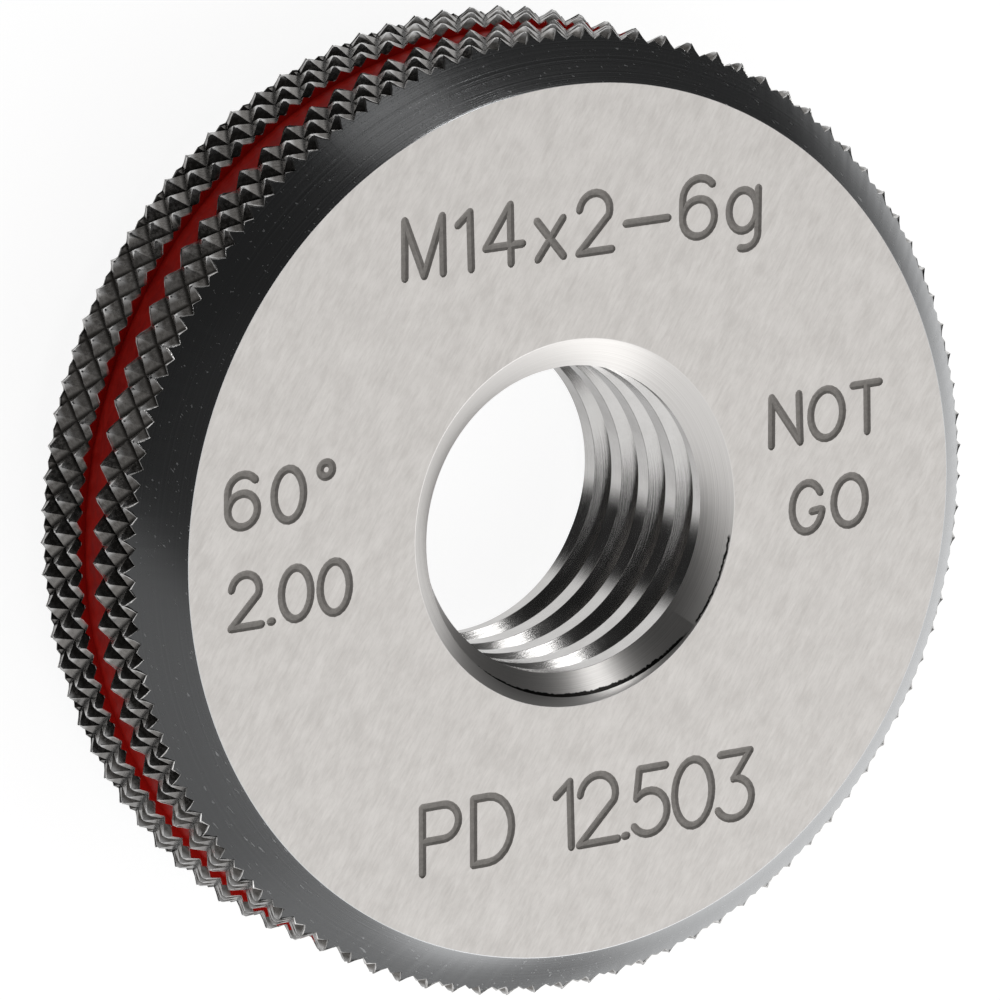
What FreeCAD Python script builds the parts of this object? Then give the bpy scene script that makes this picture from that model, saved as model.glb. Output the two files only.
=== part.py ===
import FreeCAD, Part
import math
import os
import Sketcher

# Thread ring gauge, NOT GO member, for an M14 x 2 external thread.
# One turned, knurled and ground steel ring that lies on its plain back face.
# Origin: centre of the back face. +Z is the thread axis and points out of the marked face.

doc = FreeCAD.newDocument("thread_ring_gauge")

# Driving dimensions, in millimetres and degrees

DRIVING = [
    ("outer_diameter", 38.0, "over the knurl tips"),
    ("ring_width", 10.0, "from face to face"),
    ("edge_chamfer", 1.9, "45 degree chamfer on both outer edges"),
    ("thread_diameter", 14.0, "nominal diameter of the checked thread"),
    ("thread_pitch", 2.0, "pitch of the checked thread"),
    ("thread_flank_angle", 60.0, "included angle of the thread"),
    ("not_go_allowance", 0.198, "pitch diameter below the basic one"),
    ("crest_height", 0.2, "from the pitch cylinder in to the thread crests"),
    ("thread_start_angle", -32.4, "where the thread groove leaves the back face"),
    ("countersink_diameter", 14.4, "mouth of both countersinks"),
    ("countersink_angle", 120.0, "included angle of the countersinks"),
    ("groove_width", 1.6, "marking groove round the rim"),
    ("groove_offset", 0.2, "middle of the groove over the middle of the rim"),
    ("groove_below_knurl", 0.1, "groove floor below the knurl valleys"),
    ("knurl_pitch", 1.257, "between tips, round the rim"),
    ("knurl_row_spacing", 1.0, "between rows of tips, along the axis"),
    ("knurl_depth", 0.45, "from tip to valley"),
    ("knurl_start_angle", 2.4, "first tip of the row next to the middle one"),
]

# Sizes that follow from the driving ones. The basic pitch cylinder lies three eighths of the
# height of the full triangle inside the nominal diameter. The low crests of a NOT GO ring keep
# its flanks short.

FOLLOWING = [
    ("outer_radius", "=outer_diameter / 2"),
    ("flank_slope", "=tan(thread_flank_angle / 2 * 1deg)"),
    ("triangle_height", "=thread_pitch / 2 / flank_slope"),
    ("pitch_radius", "=(thread_diameter - not_go_allowance) / 2 - 3 / 8 * triangle_height"),
    ("crest_radius", "=pitch_radius - crest_height"),
    ("root_radius", "=pitch_radius + triangle_height / 2"),
    ("cutter_radius", "=crest_radius - crest_height"),
    ("cutter_half_width", "=thread_pitch / 4 + (pitch_radius - cutter_radius) * flank_slope"),
    ("countersink_radius", "=countersink_diameter / 2"),
    ("countersink_depth", "=(countersink_radius - crest_radius) / tan(countersink_angle / 2 * 1deg)"),
    ("valley_radius", "=outer_radius - knurl_depth"),
    ("groove_radius", "=valley_radius - groove_below_knurl"),
    ("groove_low", "=(ring_width - groove_width) / 2 + groove_offset"),
    ("groove_high", "=groove_low + groove_width"),
]

sheet = doc.addObject("Spreadsheet::Sheet", "Sizes")
for row, (alias, value, meaning) in enumerate(DRIVING, start=1):
    sheet.set("A%d" % row, alias)
    sheet.set("B%d" % row, str(value))
    sheet.set("C%d" % row, meaning)
    sheet.setAlias("B%d" % row, alias)
for row, (alias, formula) in enumerate(FOLLOWING, start=len(DRIVING) + 2):
    sheet.set("A%d" % row, alias)
    sheet.set("B%d" % row, formula)
    sheet.setAlias("B%d" % row, alias)
doc.recompute()


def size(alias):
    return float(sheet.get(alias))


def draw_profile(sketch, corners):
    # a closed outline: x is the radius and y the height, and each corner is a pair of formulas.
    # It is drawn as a regular polygon first, and the constraints then pull it into shape.
    count = len(corners)
    rough_centre = size("ring_width")
    rough_reach = rough_centre / 2
    rough = []
    for k in range(count):
        turn = 2 * math.pi * k / count
        rough.append(FreeCAD.Vector(rough_centre + rough_reach * math.cos(turn),
                                    rough_centre + rough_reach * math.sin(turn), 0))
    for k in range(count):
        sketch.addGeometry(Part.LineSegment(rough[k], rough[(k + 1) % count]), False)
    for k in range(count):
        sketch.addConstraint(Sketcher.Constraint("Coincident", k, 2, (k + 1) % count, 1))
    for k, (radius, height) in enumerate(corners):
        across = sketch.addConstraint(Sketcher.Constraint("DistanceX", -1, 1, k, 1, rough[k].x))
        sketch.setExpression("Constraints[%d]" % across, radius)
        if height == "0":
            sketch.addConstraint(Sketcher.Constraint("PointOnObject", k, 1, -1))
        else:
            up = sketch.addConstraint(Sketcher.Constraint("DistanceY", -1, 1, k, 1, rough[k].y))
            sketch.setExpression("Constraints[%d]" % up, height)


def body_profile(body, name, corners):
    plane = [item for item in body.Origin.OriginFeatures if item.Role == "XZ_Plane"][0]
    sketch = body.newObject("Sketcher::SketchObject", name)
    sketch.AttachmentSupport = [(plane, "")]
    sketch.MapMode = "FlatFace"
    draw_profile(sketch, corners)
    return sketch


# Turned blank: faces, edge chamfers, countersinks and the bore at the thread crests

blank = doc.addObject("PartDesign::Body", "turned_blank")
section = body_profile(blank, "blank_section", [
    ("Sizes.countersink_radius", "0"),
    ("Sizes.outer_radius - Sizes.edge_chamfer", "0"),
    ("Sizes.outer_radius", "Sizes.edge_chamfer"),
    ("Sizes.outer_radius", "Sizes.ring_width - Sizes.edge_chamfer"),
    ("Sizes.outer_radius - Sizes.edge_chamfer", "Sizes.ring_width"),
    ("Sizes.countersink_radius", "Sizes.ring_width"),
    ("Sizes.crest_radius", "Sizes.ring_width - Sizes.countersink_depth"),
    ("Sizes.crest_radius", "Sizes.countersink_depth"),
])
revolution = blank.newObject("PartDesign::Revolution", "blank_revolution")
revolution.Profile = section
revolution.ReferenceAxis = (section, ["V_Axis"])
revolution.Angle = 360
doc.recompute()
blank_volume = revolution.Shape.Volume

# Marking groove round the rim. It lies a little nearer the marked face.

groove_section = body_profile(blank, "groove_section", [
    ("Sizes.groove_radius", "Sizes.groove_low"),
    ("Sizes.outer_radius + Sizes.knurl_depth", "Sizes.groove_low"),
    ("Sizes.outer_radius + Sizes.knurl_depth", "Sizes.groove_high"),
    ("Sizes.groove_radius", "Sizes.groove_high"),
])
groove = blank.newObject("PartDesign::Groove", "marking_groove")
groove.Profile = groove_section
groove.ReferenceAxis = (groove_section, ["V_Axis"])
groove.Angle = 360
blank.Tip = groove
doc.recompute()
groove_ring_area = math.pi * (size("outer_radius") ** 2 - size("groove_radius") ** 2)
groove_error = blank_volume - groove.Shape.Volume - groove_ring_area * size("groove_width")
if abs(groove_error) > 0.01:
    raise RuntimeError("the marking groove has not been cut: %.3f" % groove_error)

# Diamond knurl: the metal that the two crossing helical grooves push away. Every tip is a
# four-sided pyramid, and each row is half a pitch round from the next.

def rim_point(radius, turn, height):
    return FreeCAD.Vector(radius * math.cos(turn), radius * math.sin(turn), height)


def triangle(first, second, third):
    return Part.Face(Part.makePolygon([first, second, third, first]))


def knurl_cutter():
    tip_radius = size("outer_radius")
    valley_radius = size("valley_radius")
    middle = size("ring_width") / 2
    spacing = size("knurl_row_spacing")
    count = round(2 * math.pi * tip_radius / size("knurl_pitch"))
    step = 2 * math.pi / count
    knurled_half = middle - size("edge_chamfer") + size("knurl_depth")
    rows = math.floor(knurled_half / spacing) + 1

    def row_start(row):
        return math.radians(size("knurl_start_angle")) + (row + 1) % 2 * step / 2

    def tip(row, turn):
        return rim_point(tip_radius, turn, middle + row * spacing)

    def valley(row, turn):
        return rim_point(valley_radius, turn, middle + row * spacing)

    faces = []
    for row in range(-rows, rows + 1):
        for k in range(count):
            turn = row_start(row) + k * step
            for side in (-step / 2, step / 2):
                for beyond in (row - 1, row + 1):
                    if abs(beyond) <= rows:
                        faces.append(triangle(tip(row, turn), valley(row, turn + side), valley(beyond, turn)))
    sleeve_radius = tip_radius + size("knurl_depth")
    for row in (-rows, rows):
        star = []
        for k in range(count):
            turn = row_start(row) + k * step
            star += [tip(row, turn), valley(row, turn + step / 2)]
        rim = Part.Wire(Part.makeCircle(sleeve_radius, FreeCAD.Vector(0, 0, middle + row * spacing)))
        faces.append(Part.makeFace([rim, Part.makePolygon(star + star[:1])], "Part::FaceMakerBullseye"))
    sleeve = Part.makeCylinder(sleeve_radius, 2 * rows * spacing,
                               FreeCAD.Vector(0, 0, middle - rows * spacing))
    faces.append(sleeve.Faces[0])
    shell = Part.Shell(faces)
    shell.sewShape()
    return Part.Solid(shell)


knurl = doc.addObject("Part::Feature", "knurl_cutter")
knurl.Shape = knurl_cutter()

knurled = doc.addObject("Part::Cut", "knurled_blank")
knurled.Refine = False
knurled.Base = blank
knurled.Tool = knurl
doc.recompute()

# Gauging thread: a right-hand groove with a sharp root that clears the tested thread. It starts
# a pitch before the back face and ends a pitch past the marked one, so it runs out through both
# countersinks.

helix = doc.addObject("Part::Helix", "thread_helix")
helix.SegmentLength = 0.5  # in turns
helix.setExpression("Radius", "Sizes.pitch_radius")
helix.setExpression("Pitch", "Sizes.thread_pitch")
helix.setExpression("Height", "Sizes.ring_width + 2 * Sizes.thread_pitch")
helix.setExpression("Placement.Base.z", "-Sizes.thread_pitch")
helix.setExpression("Placement.Rotation.Angle", "Sizes.thread_start_angle")

thread_section = doc.addObject("Sketcher::SketchObject", "thread_section")
draw_profile(thread_section, [
    ("Sizes.cutter_radius", "Sizes.thread_pitch - Sizes.cutter_half_width"),
    ("Sizes.root_radius", "Sizes.thread_pitch"),
    ("Sizes.cutter_radius", "Sizes.thread_pitch + Sizes.cutter_half_width"),
])
start_turn = FreeCAD.Rotation(FreeCAD.Vector(0, 0, 1), size("thread_start_angle"))
upright = FreeCAD.Rotation(FreeCAD.Vector(1, 0, 0), 90)
below = FreeCAD.Vector(0, 0, -2 * size("thread_pitch"))
thread_section.Placement = FreeCAD.Placement(below, start_turn * upright)
doc.recompute()

thread_cutter = doc.addObject("Part::Sweep", "thread_cutter")
thread_cutter.Sections = [thread_section]
thread_cutter.Spine = (helix, ["Edge%d" % (k + 1) for k in range(len(helix.Shape.Edges))])
thread_cutter.Solid = True
thread_cutter.Frenet = True

ring = doc.addObject("Part::Cut", "gauge_ring")
ring.Label = "gauge_ring"
ring.Refine = False
ring.Base = knurled
ring.Tool = thread_cutter
doc.recompute()

SUB_PARTS = [ring]

# Nothing is written unless every object has built and every cut has taken metal away

for item in doc.Objects:
    if "Invalid" in item.State or "Error" in item.State:
        raise RuntimeError("%s has not built: %s" % (item.Name, item.State))
for cut in (knurled, ring):
    taken = cut.Base.Shape.Volume - cut.Shape.Volume
    print(cut.Name, "takes away %.1f mm3" % taken)
    if taken < 1:
        raise RuntimeError("%s has cut nothing" % cut.Name)
os.makedirs("parts", exist_ok=True)
for part in SUB_PARTS:
    if part.Shape.isNull() or not part.Shape.isValid() or len(part.Shape.Solids) != 1:
        raise RuntimeError("%s is not one valid solid" % part.Label)
    part.Shape.exportStep("parts/%s.step" % part.Label)
    box = part.Shape.optimalBoundingBox(False)
    print(part.Label, len(part.Shape.Faces), "faces, %.1f mm3," % part.Shape.Volume,
          "box %.2f x %.2f x %.2f mm" % (box.XLength, box.YLength, box.ZLength))
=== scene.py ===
import math

import bpy
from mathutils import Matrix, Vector


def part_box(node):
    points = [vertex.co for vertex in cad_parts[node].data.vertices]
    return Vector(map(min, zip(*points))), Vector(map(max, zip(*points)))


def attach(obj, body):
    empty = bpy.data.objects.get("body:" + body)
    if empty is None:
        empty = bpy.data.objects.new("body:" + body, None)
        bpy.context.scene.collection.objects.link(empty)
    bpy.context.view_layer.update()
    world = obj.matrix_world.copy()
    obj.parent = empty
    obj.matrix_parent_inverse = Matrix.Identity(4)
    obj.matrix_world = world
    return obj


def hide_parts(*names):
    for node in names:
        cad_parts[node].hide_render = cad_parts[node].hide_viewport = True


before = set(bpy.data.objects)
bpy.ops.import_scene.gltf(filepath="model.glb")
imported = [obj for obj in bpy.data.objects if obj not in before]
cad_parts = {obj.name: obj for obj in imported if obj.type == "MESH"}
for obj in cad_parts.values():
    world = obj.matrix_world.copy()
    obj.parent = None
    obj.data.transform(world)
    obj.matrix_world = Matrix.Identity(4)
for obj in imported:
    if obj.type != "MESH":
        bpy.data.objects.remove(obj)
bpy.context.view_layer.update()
mm = 0.001

# Everything is in metres. The ring lies on its back face, and +Z is its axis.
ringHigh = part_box("gauge_ring")[1]
faceHeight = ringHigh.z
middleHeight = faceHeight / 2

tolerances = {
    "near": 0.002 * mm,
    "sameRadius": 0.01 * mm,
    "closed": 0.001 * mm,
    "weld": 0.0005 * mm,
    "rowWeld": 0.001 * mm,
}
mostSides = 8  # a face with more sides than this is a bar's cap


# Small helpers for picking things up and putting tools to them

def deselectAll():
    if bpy.context.mode != "OBJECT":
        bpy.ops.object.mode_set(mode="OBJECT")
    bpy.ops.object.select_all(action="DESELECT")


def pickUp(piece):
    deselectAll()
    piece.select_set(True)
    bpy.context.view_layer.objects.active = piece


def nameLast(name):
    piece = bpy.context.object
    piece.name = name
    piece.data.name = name
    return piece


def settle(piece):
    # the object goes to the origin and its place goes into its mesh
    pickUp(piece)
    bpy.ops.object.transform_apply(location=True, rotation=True, scale=True)


def startPicking(piece, kind):
    # ready for elements of one kind to be picked in object mode
    pickUp(piece)
    bpy.ops.object.mode_set(mode="EDIT")
    bpy.ops.mesh.select_mode(type=kind)
    bpy.ops.mesh.select_all(action="DESELECT")
    bpy.ops.object.mode_set(mode="OBJECT")


def enterEdit():
    bpy.ops.object.mode_set(mode="EDIT")


def leaveEdit():
    bpy.ops.object.mode_set(mode="OBJECT")


def editAll(piece, kind):
    startPicking(piece, kind)
    enterEdit()
    bpy.ops.mesh.select_all(action="SELECT")


def selectFaces(piece, test):
    startPicking(piece, "FACE")
    for polygon in piece.data.polygons:
        polygon.select = test(polygon)
    enterEdit()


def selectEdges(piece, test):
    startPicking(piece, "EDGE")
    points = piece.data.vertices
    for edge in piece.data.edges:
        edge.select = test(*[points[k].co for k in edge.vertices])
    enterEdit()


def faceOutwards():
    bpy.ops.mesh.select_all(action="SELECT")
    bpy.ops.mesh.normals_make_consistent(inside=False)
    leaveEdit()


def isCap(polygon):
    return len(polygon.vertices) > mostSides


def radiusOf(point):
    return math.hypot(point.x, point.y)


def near(value, wanted):
    return abs(value - wanted) < tolerances["near"]


def weldAll(piece, distance):
    editAll(piece, "VERT")
    bpy.ops.mesh.remove_doubles(threshold=distance)
    faceOutwards()


def applyModifier(piece, modifier):
    pickUp(piece)
    bpy.ops.object.modifier_apply(modifier=modifier.name)


def cutAway(piece, cutter, solver):
    cut = piece.modifiers.new("cut", "BOOLEAN")
    cut.operation = "DIFFERENCE"
    cut.solver = solver
    cut.object = cutter
    if solver == "EXACT":
        cut.use_self = True
    applyModifier(piece, cut)
    bpy.data.objects.remove(cutter)
    print("cut:", piece.name, len(piece.data.polygons), "faces")


# The turned blank: a bar end with chamfered edges, a countersunk bore and a marking groove

blankSizes = {
    "sides": 384,
    "outerRadius": ringHigh.x,
    "chamfer": 1.9 * mm,
    "edgeBreak": 0.02 * mm,
    "mouthRadius": 7.2 * mm,
    "boreRadius": 6.0515 * mm,
    "countersink": 0.663 * mm,
    "grooveRadius": 18.45 * mm,
    "grooveWidth": 1.6 * mm,
    "grooveOffset": 0.2 * mm,
    "grooveClearance": 0.5 * mm,
}


def makeBar(name, radius, low, high, sides):
    bpy.ops.mesh.primitive_cylinder_add(vertices=sides, radius=radius, depth=high - low,
                                        end_fill_type="NGON", location=(0, 0, (low + high) / 2))
    bar = nameLast(name)
    settle(bar)
    return bar


def openBore(piece):
    # the two caps left in the middle go, and a wall joins their edges
    selectFaces(piece, isCap)
    bpy.ops.mesh.delete(type="ONLY_FACE")
    bpy.ops.mesh.select_mode(type="EDGE")
    bpy.ops.mesh.select_all(action="DESELECT")
    bpy.ops.mesh.select_non_manifold()
    bpy.ops.mesh.bridge_edge_loops()
    faceOutwards()


def makeBlank():
    s = blankSizes
    blank = makeBar("gaugeRing", s["outerRadius"], 0, faceHeight, s["sides"])

    def onRim(a, b):
        return near(a.z, b.z)

    selectEdges(blank, onRim)
    bpy.ops.mesh.bevel(offset=s["chamfer"], offset_type="OFFSET", segments=1, affect="EDGES")
    leaveEdit()
    selectFaces(blank, isCap)
    flatRadius = s["outerRadius"] - s["chamfer"]
    bpy.ops.mesh.inset(thickness=flatRadius - s["mouthRadius"], use_even_offset=True)
    bpy.ops.mesh.inset(thickness=s["mouthRadius"] - s["boreRadius"], depth=-s["countersink"],
                       use_even_offset=True)
    leaveEdit()
    openBore(blank)

    def onFaceEdge(a, b):
        onFace = near(a.z, b.z) and (near(a.z, 0) or near(a.z, faceHeight))
        onCircle = abs(radiusOf(a) - radiusOf(b)) < tolerances["sameRadius"]
        return onFace and onCircle

    selectEdges(blank, onFaceEdge)
    bpy.ops.mesh.bevel(offset=s["edgeBreak"], offset_type="OFFSET", segments=2, affect="EDGES")
    leaveEdit()
    return blank


def makeGrooveCutter():
    s = blankSizes
    low = middleHeight + s["grooveOffset"] - s["grooveWidth"] / 2
    outside = s["outerRadius"] + s["grooveClearance"]
    cutter = makeBar("grooveCutter", outside, low, low + s["grooveWidth"], s["sides"])
    selectFaces(cutter, isCap)
    bpy.ops.mesh.inset(thickness=outside - s["grooveRadius"], use_even_offset=True)
    leaveEdit()
    openBore(cutter)
    return cutter


# The engraved marks: plain round-ended strokes, a cap height of 1 in the glyphs' own units.
# A piece of a stroke is a line of points, or an arc as centre, reaches and angles.

markSizes = {
    "lineRadius": 0.215 * mm,
    "lineRise": 0.13 * mm,
    "sides": 12,
    "arcStep": 15,
    "fewestSteps": 4,
    "endAngles": (25, 50, 70, 85),
    "rise": 1.7,
}

glyphs = {
    "M": (0.77, [[(0, 0), (0, 1)], [(0, 1), (0.39, 0)], [(0.39, 0), (0.75, 1)], [(0.75, 1), (0.77, 0)]]),
    "N": (0.70, [[(0, 0), (0, 1)], [(0, 1), (0.70, 0)], [(0.70, 0), (0.66, 1)]]),
    "T": (0.65, [[(0, 1), (0.65, 1)], [(0.34, 1), (0.36, 0)]]),
    "O": (0.78, [("arc", 0.39, 0.5, 0.39, 0.51, 0, 360)]),
    "G": (0.75, [("arc", 0.375, 0.5, 0.375, 0.51, 33, 347),
                 [(0.74, 0.385), (0.73, 0.41), (0.69, 0.42), (0.49, 0.40)]]),
    "D": (0.66, [[(0, 0), (0, 1)], [(0, 1), (0.26, 1)],
                 ("arc", 0.26, 0.5, 0.40, 0.5, 90, -90), [(0.26, 0), (0, 0)]]),
    "P": (0.62, [[(0, 0), (0, 1)], [(0, 1), (0.36, 1)],
                 ("arc", 0.36, 0.74, 0.26, 0.26, 90, -90), [(0.36, 0.48), (0, 0.48)]]),
    "g": (0.61, [("arc", 0.29, 0.35, 0.29, 0.36, 0, 360), [(0.61, 0.71), (0.60, -0.08)],
                 ("arc", 0.33, -0.08, 0.27, 0.25, 0, -110)]),
    "x": (0.54, [[(0, 0.67), (0.54, 0)], [(0.53, 0.67), (0.02, 0)]]),
    "-": (0.86, [[(0, 0.41), (0.86, 0.41)]]),
    ".": (0.04, [[(0, 0.02), (0.04, 0.02)]]),
    "*": (0.30, [("arc", 0.15, 0.88, 0.14, 0.14, 0, 360)]),
    "0": (0.66, [("arc", 0.33, 0.5, 0.33, 0.51, 0, 360)]),
    "1": (0.27, [[(0, 0.80), (0.24, 1)], [(0.24, 1), (0.27, 0)]]),
    "2": (0.69, [("arc", 0.34, 0.72, 0.31, 0.31, 172, -20),
                 [(0.63, 0.61), (0.02, 0)], [(0.02, 0), (0.69, 0)]]),
    "3": (0.60, [[(0.03, 1), (0.56, 1)], [(0.56, 1), (0.27, 0.6)],
                 ("arc", 0.27, 0.30, 0.32, 0.31, 90, -150)]),
    "4": (0.74, [[(0.74, 0.32), (0, 0.32)], [(0, 0.32), (0.49, 1.03)], [(0.49, 1.03), (0.51, 0)]]),
    "5": (0.60, [[(0.56, 1), (0.1, 1)], [(0.1, 1), (0.05, 0.56)],
                 ("arc", 0.27, 0.32, 0.32, 0.33, 130, -145)]),
    "6": (0.68, [("arc", 0.36, 0.67, 0.35, 0.36, 40, 180), [(0.01, 0.67), (0.01, 0.33)],
                 ("arc", 0.34, 0.33, 0.33, 0.33, 0, 360)]),
}

# Where each line of marks starts, how tall it is and how wide it runs, in millimetres
marks = [
    {"words": "M14x2-6g", "start": (-7.63, 10.29), "height": 2.2, "width": 15.87},
    {"words": "NOT", "start": (8.9, 2.08), "height": 1.9, "width": 5.0},
    {"words": "GO", "start": (9.87, -1.5), "height": 1.9, "width": 3.42},
    {"words": "60*", "start": (-15.4, 1.45), "height": 1.95, "width": 4.6},
    {"words": "2.00", "start": (-15.3, -2.4), "height": 1.95, "width": 5.2},
    {"words": "PD", "start": (-6.9, -13.0), "height": 2.6, "width": 4.0},
    {"words": "12.503", "start": (-0.9, -12.8), "height": 2.6, "width": 9.0},
]


def strokePoints(stroke):
    if stroke[0] != "arc":
        return stroke
    centreX, centreY, reachX, reachY, first, last = stroke[1:]
    steps = max(markSizes["fewestSteps"], round(abs(last - first) / markSizes["arcStep"]))
    points = []
    for k in range(steps + 1):
        angle = math.radians(first + (last - first) * k / steps)
        points.append((centreX + reachX * math.cos(angle), centreY + reachY * math.sin(angle)))
    return points


def roundEnds(points, radius):
    # each end is carried on by a few shrinking steps, so that the tube closes as a ball
    rounded = [(point, 1.0) for point in points]
    back = (points[0] - points[1]).normalized()
    onwards = (points[-1] - points[-2]).normalized()
    for angle in [math.radians(degrees) for degrees in markSizes["endAngles"]]:
        rounded.insert(0, (points[0] + back * radius * math.sin(angle), math.cos(angle)))
        rounded.append((points[-1] + onwards * radius * math.sin(angle), math.cos(angle)))
    return rounded


def addStroke(curve, points):
    closed = (points[0] - points[-1]).length < tolerances["closed"]
    if closed:
        rounded = [(point, 1.0) for point in points[:-1]]
    else:
        rounded = roundEnds(points, markSizes["lineRadius"])
    spline = curve.splines.new("POLY")
    spline.points.add(len(rounded) - 1)
    for splinePoint, (point, share) in zip(spline.points, rounded):
        splinePoint.co = (*point, 1)
        splinePoint.radius = share
    spline.use_cyclic_u = closed


def addMark(curve, words, start, height, width):
    # the gaps between the glyphs take up what their own widths leave
    size = height * mm
    widths = sum(glyphs[letter][0] for letter in words)
    gap = (width * mm - widths * size) / (len(words) - 1)
    rise = math.radians(markSizes["rise"])
    along = Vector((math.cos(rise), math.sin(rise), 0))
    up = Vector((0, 1, 0))
    pen = Vector((start[0] * mm, start[1] * mm, faceHeight + markSizes["lineRise"]))
    for letter in words:
        glyphWidth, strokes = glyphs[letter]
        for stroke in strokes:
            flat = strokePoints(stroke)
            addStroke(curve, [pen + along * x * size + up * y * size for x, y in flat])
        pen = pen + along * (glyphWidth * size + gap)


def makeMarkCutter():
    s = markSizes
    curve = bpy.data.curves.new("markCutter", "CURVE")
    curve.dimensions = "3D"
    curve.bevel_depth = s["lineRadius"]
    curve.bevel_resolution = s["sides"] // 4
    curve.use_fill_caps = True
    for mark in marks:
        addMark(curve, **mark)
    cutter = bpy.data.objects.new("markCutter", curve)
    bpy.context.scene.collection.objects.link(cutter)
    pickUp(cutter)
    bpy.ops.object.convert(target="MESH")
    cutter = bpy.context.object
    weldAll(cutter, tolerances["weld"])
    return cutter


# The diamond knurl: one four-sided pyramid with a softened tip is copied round and along

knurlSizes = {
    "count": 95,
    "rowSpacing": 1.0 * mm,
    "rows": 4,
    "depth": 0.45 * mm,
    "startAngle": 2.4,
    "tipBreak": 0.19 * mm,
    "sleeve": 0.6 * mm,
    "over": 0.4 * mm,
    "uneven": 0.022 * mm,
}
valleyRadius = blankSizes["outerRadius"] - knurlSizes["depth"]
halfTooth = math.pi / knurlSizes["count"]


def makeKnurlCell():
    # a plane on the +X side whose corners are the four valleys, drawn up to a softened tip
    s = knurlSizes
    sideways = valleyRadius * math.sin(halfTooth)
    inwards = valleyRadius * math.cos(halfTooth)
    bpy.ops.mesh.primitive_plane_add(size=1, location=(0, 0, 0))
    cell = nameLast("knurlCell")
    corners = [(inwards, sideways, 0), (valleyRadius, 0, s["rowSpacing"]),
               (inwards, -sideways, 0), (valleyRadius, 0, -s["rowSpacing"])]
    for k, corner in zip(cell.data.polygons[0].vertices, corners):
        cell.data.vertices[k].co = corner
    selectFaces(cell, lambda polygon: True)
    bpy.ops.mesh.poke(offset=0)
    leaveEdit()
    startPicking(cell, "VERT")
    tip = cell.data.vertices[-1]  # poke adds its point last
    tip.co = (blankSizes["outerRadius"], 0, 0)
    tip.select = True
    enterEdit()
    bpy.ops.mesh.bevel(offset=s["tipBreak"], offset_type="OFFSET", segments=2, affect="VERTICES")
    leaveEdit()
    return cell


def copyKnurlCell(cell):
    # one row round the ring, then the rows, each half a tooth on from the last
    s = knurlSizes
    editAll(cell, "FACE")
    bpy.ops.mesh.spin(steps=s["count"], dupli=True, angle=2 * math.pi, center=(0, 0, 0), axis=(0, 0, 1))
    bpy.ops.mesh.select_all(action="SELECT")
    bpy.ops.mesh.remove_doubles(threshold=tolerances["weld"])
    leaveEdit()
    rows = []
    for row in range(-s["rows"], s["rows"] + 1):
        copy = cell.copy()
        copy.data = cell.data.copy()
        bpy.context.scene.collection.objects.link(copy)
        copy.location.z = middleHeight + row * s["rowSpacing"]
        copy.rotation_euler.z = math.radians(s["startAngle"]) + (row + 1) % 2 * halfTooth
        rows.append(copy)
    bpy.data.objects.remove(cell)
    deselectAll()
    for copy in rows:
        copy.select_set(True)
    bpy.context.view_layer.objects.active = rows[0]
    bpy.ops.object.transform_apply(location=True, rotation=True, scale=True)
    bpy.ops.object.join()
    cutter = nameLast("knurlCutter")
    editAll(cutter, "VERT")
    bpy.ops.mesh.remove_doubles(threshold=tolerances["rowWeld"])
    bpy.ops.transform.vertex_random(offset=s["uneven"], uniform=0.0, normal=0.0, seed=7)
    leaveEdit()
    return cutter


def pickOpenEdges(cutter, side):
    counts = {}
    for polygon in cutter.data.polygons:
        for key in polygon.edge_keys:
            counts[key] = counts.get(key, 0) + 1
    startPicking(cutter, "EDGE")
    for edge in cutter.data.edges:
        heights = [cutter.data.vertices[k].co.z - middleHeight for k in edge.vertices]
        edge.select = counts[edge.key] == 1 and all(height * side > 0 for height in heights)
    enterEdit()


def makeKnurlCutter():
    # both zigzag ends run on past the faces, out over the tips, and join round the outside
    s = knurlSizes
    cutter = copyKnurlCell(makeKnurlCell())
    reach = middleHeight + s["over"]
    outside = (blankSizes["outerRadius"] + s["sleeve"]) / valleyRadius
    for side in (-1, 1):
        pickOpenEdges(cutter, side)
        bpy.ops.mesh.extrude_region_move()
        bpy.ops.transform.resize(value=(1, 1, 0), center_override=(0, 0, middleHeight + side * reach))
        bpy.ops.mesh.extrude_region_move()
        bpy.ops.transform.resize(value=(outside, outside, 1), center_override=(0, 0, 0))
        leaveEdit()
    startPicking(cutter, "EDGE")
    enterEdit()
    bpy.ops.mesh.select_non_manifold()
    bpy.ops.mesh.bridge_edge_loops()
    faceOutwards()
    return cutter


# The burrs that rolling and turning leave: a fine bead along every edge where the knurl is cut off

burrSizes = {
    "pointsPerTooth": 8,
    "chamferBead": 0.09 * mm,
    "grooveBead": 0.045 * mm,
    "sink": 0.02 * mm,
    "margin": 0.01 * mm,
    "thinnest": 0.35,
    "uneven": 0.3,
    "unevenStep": 2.4,
    "halvings": 30,
}


def knurlRadius(angle, height):
    # radius of the knurled surface at an angle and a height
    s = knurlSizes
    step = 2 * halfTooth
    nearest = 2.0
    lowRow = math.floor((height - middleHeight) / s["rowSpacing"])
    for row in (lowRow, lowRow + 1):
        first = math.radians(s["startAngle"]) + (row + 1) % 2 * halfTooth
        sideways = abs((angle - first) / step - round((angle - first) / step)) * 2
        upwards = abs(height - middleHeight - row * s["rowSpacing"]) / s["rowSpacing"]
        nearest = min(nearest, sideways + upwards)
    return blankSizes["outerRadius"] - s["depth"] * nearest


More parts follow.
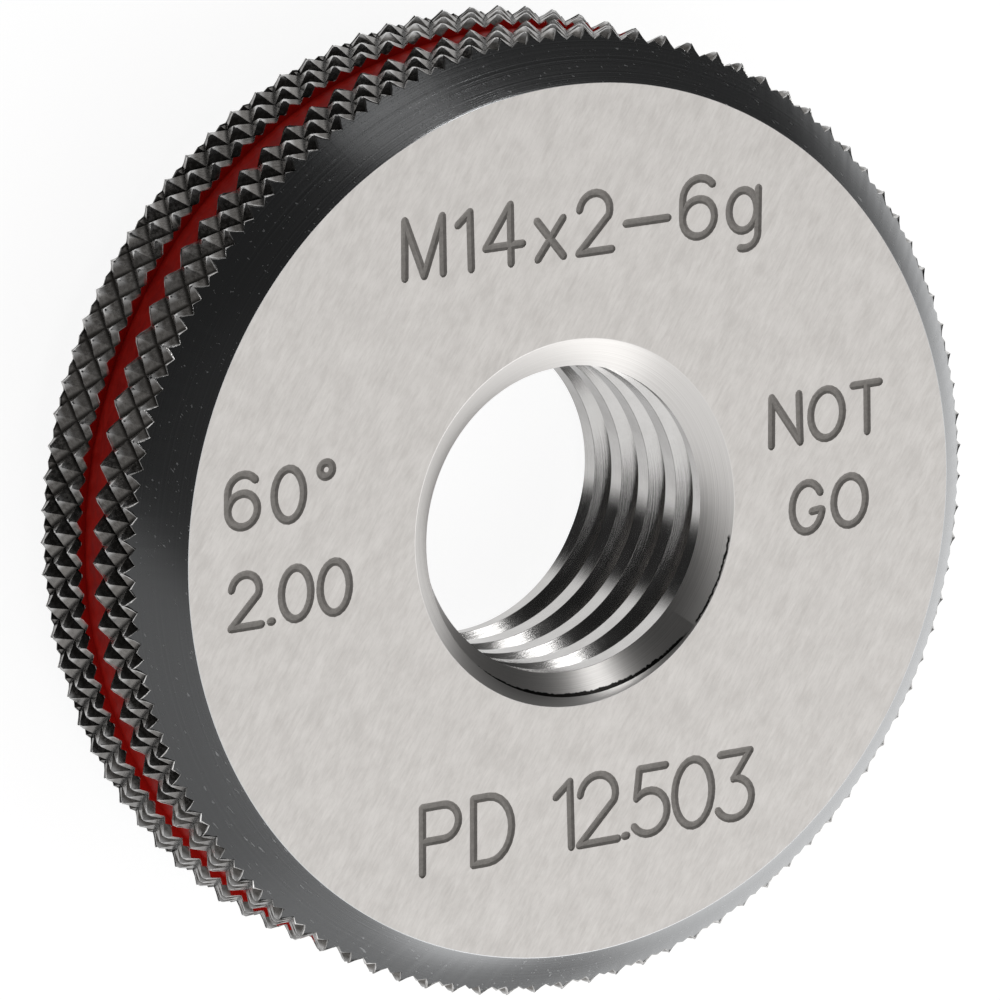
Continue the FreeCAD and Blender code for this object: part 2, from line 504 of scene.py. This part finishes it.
def chamferPoint(angle, side):
    # where the knurled surface meets the chamfer's cone, found by halving
    flatRadius = blankSizes["outerRadius"] - blankSizes["chamfer"]
    low, high = 0.0, blankSizes["chamfer"]
    for _ in range(burrSizes["halvings"]):
        inwards = (low + high) / 2
        height = middleHeight + side * (middleHeight - inwards)
        if knurlRadius(angle, height) > flatRadius + inwards:
            low = inwards
        else:
            high = inwards
    return flatRadius + low, middleHeight + side * (middleHeight - low)


def makeBead(points, thickness):
    # a bead gives way inwards, so that it stays inside the ring's outer circle
    reach = blankSizes["outerRadius"] - burrSizes["margin"]
    curve = bpy.data.curves.new("burr", "CURVE")
    curve.dimensions = "3D"
    curve.bevel_depth = thickness
    curve.bevel_resolution = 1
    spline = curve.splines.new("POLY")
    spline.points.add(len(points) - 1)
    for splinePoint, (angle, radius, height, swell) in zip(spline.points, points):
        radius = min(radius, reach - thickness * swell)
        splinePoint.co = (radius * math.cos(angle), radius * math.sin(angle), height, 1)
        splinePoint.radius = swell
    spline.use_cyclic_u = True
    bead = bpy.data.objects.new("burr", curve)
    bpy.context.scene.collection.objects.link(bead)
    pickUp(bead)
    bpy.ops.object.convert(target="MESH")
    bead = nameLast("burr")
    bead.data.materials.clear()
    bead.data.materials.append(finishes["rolledBurr"])
    return bead


def makeBurrs():
    s = burrSizes
    total = knurlSizes["count"] * s["pointsPerTooth"]
    depth = knurlSizes["depth"]
    angles = [math.radians(knurlSizes["startAngle"]) + 2 * math.pi * k / total for k in range(total)]
    beads = []

    def swellAt(k, radius):
        # thick on the tips and thin in the valleys, and no two teeth quite alike
        share = max(0.0, (radius - blankSizes["outerRadius"] + depth) / depth)
        uneven = 1 + s["uneven"] * math.sin(k / s["pointsPerTooth"] * s["unevenStep"])
        return (s["thinnest"] + share * share) * uneven

    for side in (-1, 1):
        line = []
        for k, angle in enumerate(angles):
            radius, height = chamferPoint(angle, side)
            line.append((angle, radius - s["sink"], height - side * s["sink"], swellAt(k, radius)))
        beads.append(makeBead(line, s["chamferBead"]))
    grooveMiddle = middleHeight + blankSizes["grooveOffset"]
    for side in (-1, 1):
        height = grooveMiddle + side * (blankSizes["grooveWidth"] / 2)
        line = []
        for k, angle in enumerate(angles):
            radius = knurlRadius(angle, height + side * s["sink"])
            line.append((angle, radius - s["sink"], height + side * s["sink"], swellAt(k, radius)))
        beads.append(makeBead(line, s["grooveBead"]))
    return beads


# The gauging thread: one V with a broken crest edge is screwed through the bore

threadSizes = {
    "pitch": 2.0 * mm,
    "flankAngle": 30,
    "pitchRadius": 6.2515 * mm,
    "rootRadius": 7.1 * mm,
    "rootFlat": 0.02 * mm,
    "crestBreak": 0.008 * mm,
    "innerRadius": 5.8 * mm,
    "startAngle": -32.4,
    "stepsPerTurn": 128,
    "turns": 7,
}


def makeThreadCutter():
    s = threadSizes
    slope = math.tan(math.radians(s["flankAngle"]))
    crest = blankSizes["boreRadius"]

    def halfWidth(radius):
        return s["pitch"] / 4 + (s["pitchRadius"] - radius) * slope

    broken = halfWidth(crest) + s["crestBreak"]
    profile = [
        (s["rootRadius"], s["rootFlat"] / 2),
        (crest + s["crestBreak"], halfWidth(crest + s["crestBreak"])),
        (crest, broken),
        (s["innerRadius"], broken),
    ]
    bpy.ops.mesh.primitive_circle_add(vertices=2 * len(profile), radius=s["pitch"], fill_type="NGON")
    cutter = nameLast("threadCutter")
    loop = profile + [(radius, -height) for radius, height in reversed(profile)]
    start = math.radians(s["startAngle"])
    for vertex, (radius, height) in zip(cutter.data.vertices, loop):
        vertex.co = (radius * math.cos(start), radius * math.sin(start), height - s["pitch"])
    selectFaces(cutter, lambda polygon: True)
    bpy.ops.mesh.delete(type="ONLY_FACE")
    leaveEdit()
    screw = cutter.modifiers.new("screw", "SCREW")
    screw.axis = "Z"
    screw.angle = 2 * math.pi
    screw.screw_offset = s["pitch"]
    screw.iterations = s["turns"]
    screw.steps = s["stepsPerTurn"]
    screw.render_steps = s["stepsPerTurn"]
    screw.use_smooth_shade = False
    applyModifier(cutter, screw)
    startPicking(cutter, "EDGE")
    enterEdit()
    bpy.ops.mesh.select_non_manifold()
    bpy.ops.mesh.edge_face_add()
    faceOutwards()
    return cutter


print("blank")
gaugeRing = makeBlank()
cutAway(gaugeRing, makeGrooveCutter(), "MANIFOLD")
print("marks")
cutAway(gaugeRing, makeMarkCutter(), "EXACT")
print("knurl")
cutAway(gaugeRing, makeKnurlCutter(), "MANIFOLD")
print("thread")
cutAway(gaugeRing, makeThreadCutter(), "MANIFOLD")


# Materials. Patterns lie on Object coordinates, so they stay on the ring from every side.

def startMaterial(name):
    material = bpy.data.materials.new(name)
    material.use_nodes = True
    material.node_tree.nodes.clear()
    return material


def addNode(owner, kind, settings=None, inputs=None):
    node = owner.node_tree.nodes.new(kind)
    for key, value in (settings or {}).items():
        setattr(node, key, value)
    for key, value in (inputs or {}).items():
        if isinstance(value, bpy.types.NodeSocket):
            owner.node_tree.links.new(value, node.inputs[key])
        else:
            node.inputs[key].default_value = value
    return node


def startSurface(material, inputs):
    shader = addNode(material, "ShaderNodeBsdfPrincipled", None, inputs)
    output = addNode(material, "ShaderNodeOutputMaterial")
    material.node_tree.links.new(shader.outputs[0], output.inputs["Surface"])


def reckon(owner, operation, first, second=0.0):
    node = addNode(owner, "ShaderNodeMath", {"operation": operation}, {0: first, 1: second})
    return node.outputs[0]


def spread(owner, value, low, high, toLow=0.0, toHigh=1.0):
    # a smooth step from toLow to toHigh while value goes from low to high
    node = addNode(owner, "ShaderNodeMapRange", {"interpolation_type": "SMOOTHSTEP"},
                   {"Value": value, "From Min": low, "From Max": high, "To Min": toLow, "To Max": toHigh})
    return node.outputs[0]


def times(owner, first, second):
    return reckon(owner, "MULTIPLY", first, second)


def plus(owner, first, second):
    return reckon(owner, "ADD", first, second)


def minus(owner, first, second):
    return reckon(owner, "SUBTRACT", first, second)


def blendColours(owner, share, first, second):
    # the sockets 6, 7 and 2 are the colour ones
    node = addNode(owner, "ShaderNodeMix", {"data_type": "RGBA"}, {0: share, 6: first, 7: second})
    return node.outputs[2]


def objectPlace(owner):
    return addNode(owner, "ShaderNodeTexCoord").outputs["Object"]


def turnedPlace(owner, turn):
    # Object coordinates turned about the axis, by degrees
    node = addNode(owner, "ShaderNodeMapping", {"vector_type": "TEXTURE"},
                   {"Vector": objectPlace(owner), "Rotation": (0, 0, math.radians(turn))})
    return node.outputs[0]


def grain(owner, scale, turn=0.0, detail=3.0, roughness=0.6):
    # noise with so many grains a millimetre each way
    scaled = addNode(owner, "ShaderNodeMapping", {"vector_type": "POINT"},
                     {"Vector": turnedPlace(owner, turn), "Scale": [k / mm for k in scale]})
    node = addNode(owner, "ShaderNodeTexNoise", None,
                   {"Vector": scaled.outputs[0], "Scale": 1.0, "Detail": detail, "Roughness": roughness})
    return node.outputs[0]


def radiusAndHeight(owner):
    # distance from the axis and height over the back face, in millimetres
    apart = addNode(owner, "ShaderNodeSeparateXYZ", None, {0: objectPlace(owner)})
    flat = addNode(owner, "ShaderNodeCombineXYZ", None, {0: apart.outputs[0], 1: apart.outputs[1]})
    length = addNode(owner, "ShaderNodeVectorMath", {"operation": "LENGTH"}, {0: flat.outputs[0]})
    radius = reckon(owner, "DIVIDE", length.outputs["Value"], mm)
    height = reckon(owner, "DIVIDE", apart.outputs[2], mm)
    return radius, height


def fromMiddleOf(owner, height, middle):
    return reckon(owner, "ABSOLUTE", minus(owner, height, middle / mm))


turningLook = {
    "patchGrain": (0.12, 0.12, 0.12),
    "patchRange": (0.35, 0.65),
    "fadeTo": (0.25, 1.0),
    "lineRange": (-0.15, 0.15),
}


def turningLines(owner, along, perMillimetre, detail=4.0):
    # tool marks that follow one coordinate, and fade in and out round the ring
    look = turningLook
    lines = addNode(owner, "ShaderNodeTexNoise", {"noise_dimensions": "1D"},
                    {"W": along, "Scale": perMillimetre, "Detail": detail, "Roughness": 0.7})
    patches = grain(owner, look["patchGrain"], detail=2.0)
    strength = spread(owner, patches, *look["patchRange"], *look["fadeTo"])
    return times(owner, minus(owner, lines.outputs[0], 0.5), strength)


def addBump(owner, height, distance):
    node = addNode(owner, "ShaderNodeBump", None,
                   {"Height": height, "Distance": distance * mm, "Strength": 1.0})
    return node.outputs[0]


def grey(value, warm=0.0):
    return (value * (1 + warm), value, value * (1 - warm), 1)


noiseRange = (0.3, 0.7)


def twoTone(owner, noise, first, second, toneRange=noiseRange):
    return blendColours(owner, spread(owner, noise, *toneRange), first, second)


groundLook = {
    "fineGrain": (9.0, 1.8, 1.0),
    "coarseGrain": (4.0, 0.7, 1.0),
    "mottleGrain": (0.9, 0.7, 0.9),
    "fineTurn": -34,
    "coarseTurn": -28,
    "coarseShare": 0.6,
    "scratchShare": 0.5,
    "mottleShare": 0.4,
    "toneRange": (0.35, 0.85),
    "tones": (grey(0.53, 0.045), grey(0.73, 0.035)),
    "roughness": (0.34, 0.46),
    "bump": 0.0018,
}


def makeGroundFace():
    # surface ground steel: fine slanting scratches, soft mottling, warm light grey
    look = groundLook
    material = startMaterial("groundFace")
    fine = grain(material, look["fineGrain"], turn=look["fineTurn"], detail=4.0)
    coarse = grain(material, look["coarseGrain"], turn=look["coarseTurn"], detail=3.0)
    mottle = grain(material, look["mottleGrain"], turn=look["coarseTurn"], detail=5.0, roughness=0.7)
    scratches = plus(material, fine, times(material, coarse, look["coarseShare"]))
    tone = plus(material, times(material, scratches, look["scratchShare"]),
                times(material, mottle, look["mottleShare"]))
    startSurface(material, {
        "Base Color": twoTone(material, tone, *look["tones"], look["toneRange"]),
        "Metallic": 1.0,
        "Roughness": spread(material, fine, *noiseRange, *look["roughness"]),
        "Normal": addBump(material, scratches, look["bump"]),
    })
    return material


turnedLook = {
    "linesPerMm": 22.0,
    "sheenFrom": (10 * mm, 16 * mm),
    "lineStrength": (0.35, 1.8),
    "nickGrain": (9.0, 1.6, 9.0),
    "nickTurn": 40,
    "nickRange": (0.7, 0.76),
    "nickRoughness": 0.3,
    "tones": (grey(0.63, -0.015), grey(0.72, -0.015)),
    "roughness": (0.18, 0.26),
    "bump": 0.004,
}


def makeTurnedEdge():
    # the chamfers and edge breaks: bright turned steel with fine rings, whose contrast is painted stronger
    # towards +Y as a painted sheen, and a few matt nicks
    look = turnedLook
    material = startMaterial("turnedEdge")
    radius = radiusAndHeight(material)[0]
    apart = addNode(material, "ShaderNodeSeparateXYZ", None, {0: objectPlace(material)})
    # painted sheen: the rings' contrast in the colour grows towards +Y, where the glare falls
    strength = spread(material, apart.outputs[1], *look["sheenFrom"], *look["lineStrength"])
    lines = times(material, turningLines(material, radius, look["linesPerMm"], detail=2.0), strength)
    chips = grain(material, look["nickGrain"], turn=look["nickTurn"], detail=1.0)
    nicks = spread(material, chips, *look["nickRange"], 0.0, look["nickRoughness"])
    smooth = spread(material, lines, *turningLook["lineRange"], *look["roughness"])
    startSurface(material, {
        "Base Color": twoTone(material, lines, *look["tones"], turningLook["lineRange"]),
        "Metallic": 1.0,
        "Roughness": plus(material, smooth, nicks),
        "Normal": addBump(material, lines, look["bump"]),
    })
    return material


# Radii and reaches are in millimetres here
knurlLook = {
    "speckleGrain": (6.0, 6.0, 6.0),
    "wanderGrain": (2.2, 2.2, 2.2),
    "flankTones": (grey(0.15, 0.07), grey(0.28, 0.05)),
    "valleyShadeTone": grey(0.04, 0.1),
    # painted shade: the valleys are coloured near black where shade falls between the teeth
    "valleyShadeRadii": (18.56, 18.66),
    # painted highlight: the tips are coloured pale where light catches them
    "tipHighlightTone": grey(0.7, 0.01),
    "tipHighlightRadii": (18.76, 18.93),
    "wallEdge": 0.03,
    "wander": 0.5,
    "smearReach": (0.2, 0.4),
    "smearMost": 0.6,
    "smearRadii": (18.55, 18.8),
    "smearOnTips": 0.2,
    "lacquer": (0.55, 0.016, 0.011, 1),
    "specular": 0.08,
    "roughness": (0.18, 0.32),
    "bump": 0.006,
}


def makeKnurlSteel():
    # rolled teeth: painted shade dark in the valleys, a painted highlight bright on the tips, lacquer on
    # the groove's walls and a little of it smeared over the teeth beside them
    look = knurlLook
    material = startMaterial("knurlSteel")
    radius, height = radiusAndHeight(material)
    speckle = grain(material, look["speckleGrain"], detail=4.0)
    flanks = twoTone(material, speckle, *look["flankTones"])
    # painted shade in the valleys, then a painted highlight on the tips
    shadedValleys = twoTone(material, radius, look["valleyShadeTone"], flanks, look["valleyShadeRadii"])
    highlightedTips = twoTone(material, radius, shadedValleys, look["tipHighlightTone"], look["tipHighlightRadii"])
    fromGroove = fromMiddleOf(material, height, middleHeight + blankSizes["grooveOffset"])
    wall = blankSizes["grooveWidth"] / 2 / mm
    onWall = spread(material, fromGroove, wall, wall + look["wallEdge"], 1.0, 0.0)
    wander = grain(material, look["wanderGrain"], detail=2.0)
    reach = plus(material, fromGroove, times(material, wander, look["wander"]))
    nearest, farthest = look["smearReach"]
    beside = spread(material, reach, wall + nearest, wall + farthest, look["smearMost"], 0.0)
    smear = times(material, beside, spread(material, radius, *look["smearRadii"], 1.0, look["smearOnTips"]))
    red = reckon(material, "MAXIMUM", smear, onWall)
    startSurface(material, {
        "Base Color": blendColours(material, red, highlightedTips, look["lacquer"]),
        "Metallic": minus(material, 1.0, onWall),
        "Specular IOR Level": look["specular"],
        "Roughness": spread(material, speckle, *noiseRange, *look["roughness"]),
        "Normal": addBump(material, speckle, look["bump"]),
    })
    return material


lacquerLook = {
    "grain": (1.2, 1.2, 2.5),
    "tones": ((0.52, 0.014, 0.01, 1), (0.7, 0.024, 0.016, 1)),
    "roughness": (0.4, 0.55),
    "specular": 0.05,
    "bump": 0.02,
}


def makeGrooveLacquer():
    # brushed-in red lacquer, a little uneven
    look = lacquerLook
    material = startMaterial("grooveLacquer")
    flow = grain(material, look["grain"], detail=3.0)
    startSurface(material, {
        "Base Color": twoTone(material, flow, *look["tones"]),
        "Roughness": spread(material, flow, *noiseRange, *look["roughness"]),
        "Specular IOR Level": look["specular"],
        "Normal": addBump(material, flow, look["bump"]),
    })
    return material


threadLook = {
    "linesPerMm": 14.0,
    "cloudGrain": (1.2, 1.2, 1.2),
    "tones": (grey(0.64, 0.02), grey(0.7, 0.018)),
    # painted shade: the root is coloured near black where shade falls under the flanks
    "rootShadeTone": grey(0.05, 0.05),
    "rootShadeRadii": (6.98, 7.06),
    "roughness": (0.14, 0.18),
    "bump": 0.004,
}


def makeThreadSteel():
    # the lapped thread: bright, with lines that run round the bore, and painted shade dark at the root
    look = threadLook
    material = startMaterial("threadSteel")
    radius, height = radiusAndHeight(material)
    lines = turningLines(material, plus(material, radius, height), look["linesPerMm"])
    cloud = grain(material, look["cloudGrain"], detail=4.0)
    bare = twoTone(material, cloud, *look["tones"])
    startSurface(material, {
        # painted shade darkens the thread towards its root
        "Base Color": twoTone(material, radius, bare, look["rootShadeTone"], look["rootShadeRadii"]),
        "Metallic": 1.0,
        "Roughness": spread(material, cloud, *noiseRange, *look["roughness"]),
        "Normal": addBump(material, lines, look["bump"]),
    })
    return material


engravedLook = {
    "burnGrain": (8.0, 8.0, 8.0),
    "tones": (grey(0.31, 0.06), grey(0.39, 0.055)),
    "metal": 0.4,
    "roughness": 0.75,
    "bump": 0.01,
}


def makeEngravedLine():
    # the floor of the marks: matt dark grey
    look = engravedLook
    material = startMaterial("engravedLine")
    burn = grain(material, look["burnGrain"], detail=4.0)
    startSurface(material, {
        "Base Color": twoTone(material, burn, *look["tones"]),
        "Metallic": look["metal"],
        "Roughness": look["roughness"],
        "Normal": addBump(material, burn, look["bump"]),
    })
    return material


countersunkLook = {
    "linesPerMm": 22.0,
    "raggedGrain": (5.0, 5.0, 5.0),
    "tones": (grey(0.6, 0.03), grey(0.74, 0.025)),
    # painted shade: the near black of the ragged line under the countersink's edge
    "shadeLineTone": grey(0.02, 0.05),
    "roughness": 0.28,
    "bump": 0.002,
    "raggedReach": 0.2,
    "depthShare": 0.9,
    "hiddenRange": (-0.07, -0.04),
    "belowRange": (0.01, 0.03),
    "shadeLineTurn": -25,
    "shadeLineReach": (1.7, 1.9),
    "shadeLineInwards": 0.02,
    "shadeLineRagged": 0.12,
    "shadeLineWidth": (0.02, 0.05),
}


def paintedShadeShare(material, height, inwards, ragged):
    # how much painted shade a spot gets under the countersink's edge, where the run-out's flank goes in
    look = countersunkLook
    slope = (blankSizes["mouthRadius"] - blankSizes["boreRadius"]) / blankSizes["countersink"]
    fromFace = minus(material, middleHeight / mm, fromMiddleOf(material, height, middleHeight))
    below = minus(material, fromFace, reckon(material, "DIVIDE", inwards, slope))
    lip = minus(material, times(material, ragged, look["raggedReach"]), inwards)
    under = plus(material, lip, times(material, below, look["depthShare"]))
    return times(material, spread(material, under, *look["hiddenRange"]),
                 spread(material, below, *look["belowRange"]))


def shadeLineShare(material, inwards, ragged):
    # a dark line of painted shade that carries the shaded edge on, near the mouth towards +X
    look = countersunkLook
    apart = addNode(material, "ShaderNodeSeparateXYZ", None, {0: turnedPlace(material, look["shadeLineTurn"])})
    sideways = reckon(material, "ABSOLUTE", reckon(material, "DIVIDE", apart.outputs[1], mm))
    beside = times(material, spread(material, sideways, *look["shadeLineReach"], 1.0, 0.0),
                   spread(material, apart.outputs[0], 0.0, mm))
    wander = times(material, ragged, look["shadeLineRagged"])
    offset = minus(material, minus(material, inwards, look["shadeLineInwards"]), wander)
    fromLine = reckon(material, "ABSOLUTE", offset)
    return times(material, beside, spread(material, fromLine, *look["shadeLineWidth"], 1.0, 0.0))


def makeCountersunk():
    # the countersinks and the thread's run-out: turning lines round the bore, and a dark, ragged line of
    # painted shade under the edge
    look = countersunkLook
    material = startMaterial("countersunk")
    radius, height = radiusAndHeight(material)
    lines = turningLines(material, radius, look["linesPerMm"], detail=3.0)
    bare = twoTone(material, lines, *look["tones"], turningLook["lineRange"])
    inwards = minus(material, blankSizes["mouthRadius"] / mm, radius)
    ragged = grain(material, look["raggedGrain"], detail=4.0)
    # painted shade under the countersink's edge and along the line near the mouth
    paintedShade = reckon(material, "MAXIMUM", paintedShadeShare(material, height, inwards, ragged),
                  shadeLineShare(material, inwards, ragged))
    startSurface(material, {
        "Base Color": blendColours(material, paintedShade, bare, look["shadeLineTone"]),
        "Metallic": 1.0,
        "Roughness": look["roughness"],
        "Normal": addBump(material, lines, look["bump"]),
    })
    return material


burrLook = {
    "speckleGrain": (5.0, 5.0, 5.0),
    "tones": (grey(0.45, 0.03), grey(0.75, 0.01)),
    "roughness": 0.16,
    "bump": 0.01,
}


def makeRolledBurr():
    # fine burrs on the knurl's edges: bright, bare steel
    look = burrLook
    material = startMaterial("rolledBurr")
    speckle = grain(material, look["speckleGrain"], detail=3.0)
    startSurface(material, {
        "Base Color": twoTone(material, speckle, *look["tones"]),
        "Metallic": 1.0,
        "Roughness": look["roughness"],
        "Normal": addBump(material, speckle, look["bump"]),
    })
    return material


finishes = {
    "groundFace": makeGroundFace(),
    "turnedEdge": makeTurnedEdge(),
    "knurlSteel": makeKnurlSteel(),
    "grooveLacquer": makeGrooveLacquer(),
    "threadSteel": makeThreadSteel(),
    "engravedLine": makeEngravedLine(),
    "countersunk": makeCountersunk(),
    "rolledBurr": makeRolledBurr(),
}


# Which finish a face has is told from its place and slope. Slopes are the share of +Z in the normal.
finishLimits = {
    "levelSlope": 0.995,
    "wallSlope": 0.5,
    "sinkSlope": 0.866,
    "sinkSlack": 0.01,
    "chamferSlope": math.sqrt(0.5),
    "chamferSlack": 0.02,
    "offCone": 0.02 * mm,
    "offFace": 0.01 * mm,
    "runOutDepth": 1.0 * mm,
    "smoothAngle": 24,
}


def finishInBore(radius, slope, fromFace):
    s = blankSizes
    limits = finishLimits
    coneRadius = s["mouthRadius"] - fromFace * (s["mouthRadius"] - s["boreRadius"]) / s["countersink"]
    sloping = abs(slope - limits["sinkSlope"]) < limits["sinkSlack"]
    onCone = sloping and abs(radius - coneRadius) < limits["offCone"]
    runOut = sloping and fromFace < limits["runOutDepth"]
    return "countersunk" if onCone or runOut or fromFace < s["edgeBreak"] else "threadSteel"


def finishOf(centre, normal):
    s = blankSizes
    limits = finishLimits
    radius = radiusOf(centre)
    slope = abs(normal.z)
    fromFace = middleHeight - abs(centre.z - middleHeight)
    flatRadius = s["outerRadius"] - s["chamfer"]
    if radius < s["mouthRadius"] + s["edgeBreak"] and slope < limits["levelSlope"]:
        return finishInBore(radius, slope, fromFace)
    if radius < flatRadius - s["edgeBreak"]:
        level = slope > limits["levelSlope"] and fromFace < limits["offFace"]
        return "groundFace" if level else "engravedLine"
    if radius < s["grooveRadius"] + limits["offFace"] and slope < limits["wallSlope"]:
        return "grooveLacquer"
    sloping = abs(slope - limits["chamferSlope"]) < limits["chamferSlack"]
    onChamfer = sloping and abs(radius - flatRadius - fromFace) < limits["offCone"]
    return "turnedEdge" if onChamfer or fromFace < s["edgeBreak"] else "knurlSteel"


def dressRing():
    names = list(finishes)
    gaugeRing.data.materials.clear()
    for name in names:
        gaugeRing.data.materials.append(finishes[name])
    counts = {name: 0 for name in names}
    for polygon in gaugeRing.data.polygons:
        name = finishOf(polygon.center, polygon.normal)
        polygon.material_index = names.index(name)
        counts[name] += 1
    print("finishes:", counts)


def keepFacesFlat():
    # the ground faces end in hard edges, so that their edge breaks don't bend their shading
    flat = list(finishes).index("groundFace")
    inside, outside = set(), set()
    for polygon in gaugeRing.data.polygons:
        keys = inside if polygon.material_index == flat else outside
        keys.update(polygon.edge_keys)
    for edge in gaugeRing.data.edges:
        if edge.key in inside and edge.key in outside:
            edge.use_edge_sharp = True


dressRing()
print("burrs")
burrs = makeBurrs()
pickUp(gaugeRing)
for burr in burrs:
    burr.select_set(True)
bpy.ops.object.join()
bpy.ops.object.shade_smooth_by_angle(angle=math.radians(finishLimits["smoothAngle"]))
keepFacesFlat()
gaugeRing.name = "gaugeRing"
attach(gaugeRing, "root")
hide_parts("gauge_ring")

# Camera, where the photograph was taken from: place in millimetres, turns in degrees

cameraLook = {
    "place": (-187.26, 75.94, 313.90),
    "tilt": -11.87,
    "turn": -31.17,
    "lens": 341.9,
    "sensor": 36,
    "nearest": 0.01,
    "farthest": 20,
}


def addCamera():
    look = cameraLook
    turns = (math.radians(look["tilt"]), math.radians(look["turn"]), 0)
    bpy.ops.object.camera_add(location=Vector(look["place"]) * mm, rotation=turns)
    camera = bpy.context.object
    camera.name = "camera"
    camera.data.lens = look["lens"]
    camera.data.sensor_width = look["sensor"]
    camera.data.clip_start = look["nearest"]
    camera.data.clip_end = look["farthest"]
    bpy.context.scene.camera = camera


addCamera()

# A plain white floor that keeps the ring's shadow. It glows where the camera sees it, and what the
# metal mirrors goes on through it to the world, whose lower half is the pale table.

floorLook = {
    "size": 4,
    "glow": 1.3,
    "glowShare": 0.7,
    "paper": 0.8,
}

bpy.ops.mesh.primitive_plane_add(size=floorLook["size"], location=(0, 0, 0))
floor = nameLast("floor")
floorPaint = startMaterial("floorPaint")
floor.data.materials.append(floorPaint)


def dressFloor():
    look = floorLook
    path = addNode(floorPaint, "ShaderNodeLightPath")
    seen = reckon(floorPaint, "MAXIMUM", path.outputs["Is Camera Ray"], path.outputs["Is Transmission Ray"])
    share = reckon(floorPaint, "MULTIPLY", seen, look["glowShare"])
    paper = addNode(floorPaint, "ShaderNodeBsdfDiffuse", None, {"Color": grey(look["paper"])})
    glow = addNode(floorPaint, "ShaderNodeEmission", None,
                   {"Color": grey(1.0), "Strength": look["glow"]})
    clear = addNode(floorPaint, "ShaderNodeBsdfTransparent")
    lit = addNode(floorPaint, "ShaderNodeMixShader", None,
                  {0: share, 1: paper.outputs[0], 2: glow.outputs[0]})
    mixed = addNode(floorPaint, "ShaderNodeMixShader", None,
                    {0: path.outputs["Is Glossy Ray"], 1: lit.outputs[0], 2: clear.outputs[0]})
    output = addNode(floorPaint, "ShaderNodeOutputMaterial")
    floorPaint.node_tree.links.new(mixed.outputs[0], output.inputs["Surface"])


dressFloor()

# Soft lamps. Radiance is what the panel looks like in a mirror: 1 is white.

lampDistance = 0.6
lamps = {
    "keyLamp": {"direction": (0.25, -0.42, 0.87), "size": 1.05, "radiance": 0.81},
    "sparkLamp": {"direction": (0.24, 0.655, 0.715), "size": 0.13, "radiance": 3.4},
    "rimLamp": {"direction": (0.0, 0.91, 0.41), "size": 0.21, "radiance": 0.22},
}


def addSoftbox(name, direction, size, radiance):
    place = Vector(direction).normalized() * lampDistance
    bpy.ops.object.light_add(type="AREA", location=place)
    lamp = bpy.context.object
    lamp.name = name
    lamp.rotation_mode = "QUATERNION"
    lamp.rotation_quaternion = place.to_track_quat("Z", "Y")
    lamp.data.shape = "DISK"
    lamp.data.size = size
    lamp.data.energy = radiance * math.pi * math.pi * (size / 2) ** 2


for lampName, lamp in lamps.items():
    addSoftbox(lampName, **lamp)

# The world is a studio: a pale table below and grey walls above, light panels in front and on the
# right, and dark curtains behind, on the left and beside the camera. A patch is full inside its inner
# angle and gone outside its outer one, and a later patch covers an earlier one.

worldLook = {
    "table": 1.0,
    "walls": 0.15,
    "horizon": (-0.55, -0.12),
    "patches": [
        {"direction": (0.1, -0.99, 0.05), "inner": 10, "outer": 30, "level": 0.24},
        {"direction": (0.02, -0.54, -0.84), "inner": 12, "outer": 28, "level": 0.72},
        {"direction": (0.38, -0.86, 0.33), "inner": 10, "outer": 22, "level": 1.15},
        {"direction": (0.88, -0.45, 0.2), "inner": 24, "outer": 38, "level": 1.2},
        {"direction": (-0.5, 0.62, 0.6), "inner": 42, "outer": 54, "level": 0.02},
        {"direction": (-0.55, 0.1, 0.83), "inner": 20, "outer": 28, "level": 0.03},
        {"direction": (0.62, 0.78, 0.05), "inner": 27, "outer": 42, "level": 0.03},
        {"direction": (-0.05, 0.9, -0.42), "inner": 10, "outer": 24, "level": 0.25},
        {"direction": (-0.78, -0.5, -0.38), "inner": 24, "outer": 36, "level": 0.42},
        {"direction": (-0.85, 0.42, -0.33), "inner": 30, "outer": 40, "level": 0.03},
        {"direction": (-0.51, 0.24, -0.83), "inner": 12, "outer": 24, "level": 0.03},
    ],
}


def dressWorld():
    world = bpy.data.worlds.new("studio")
    bpy.context.scene.world = world
    world.use_nodes = True
    world.node_tree.nodes.clear()
    place = addNode(world, "ShaderNodeTexCoord")
    apart = addNode(world, "ShaderNodeSeparateXYZ", None, {0: place.outputs["Generated"]})
    below, above = worldLook["horizon"]
    level = spread(world, apart.outputs[2], below, above, worldLook["table"], worldLook["walls"])
    for patch in worldLook["patches"]:
        facing = addNode(world, "ShaderNodeVectorMath", {"operation": "DOT_PRODUCT"},
                         {0: place.outputs["Generated"], 1: Vector(patch["direction"]).normalized()})
        share = spread(world, facing.outputs["Value"], math.cos(math.radians(patch["outer"])),
                       math.cos(math.radians(patch["inner"])))
        mixed = addNode(world, "ShaderNodeMix", {"data_type": "FLOAT"},
                        {0: share, 2: level, 3: patch["level"]})
        level = mixed.outputs[0]
    background = addNode(world, "ShaderNodeBackground", None, {"Strength": level})
    output = addNode(world, "ShaderNodeOutputWorld")
    world.node_tree.links.new(background.outputs[0], output.inputs["Surface"])


dressWorld()
bpy.context.scene.view_settings.view_transform = "Standard"
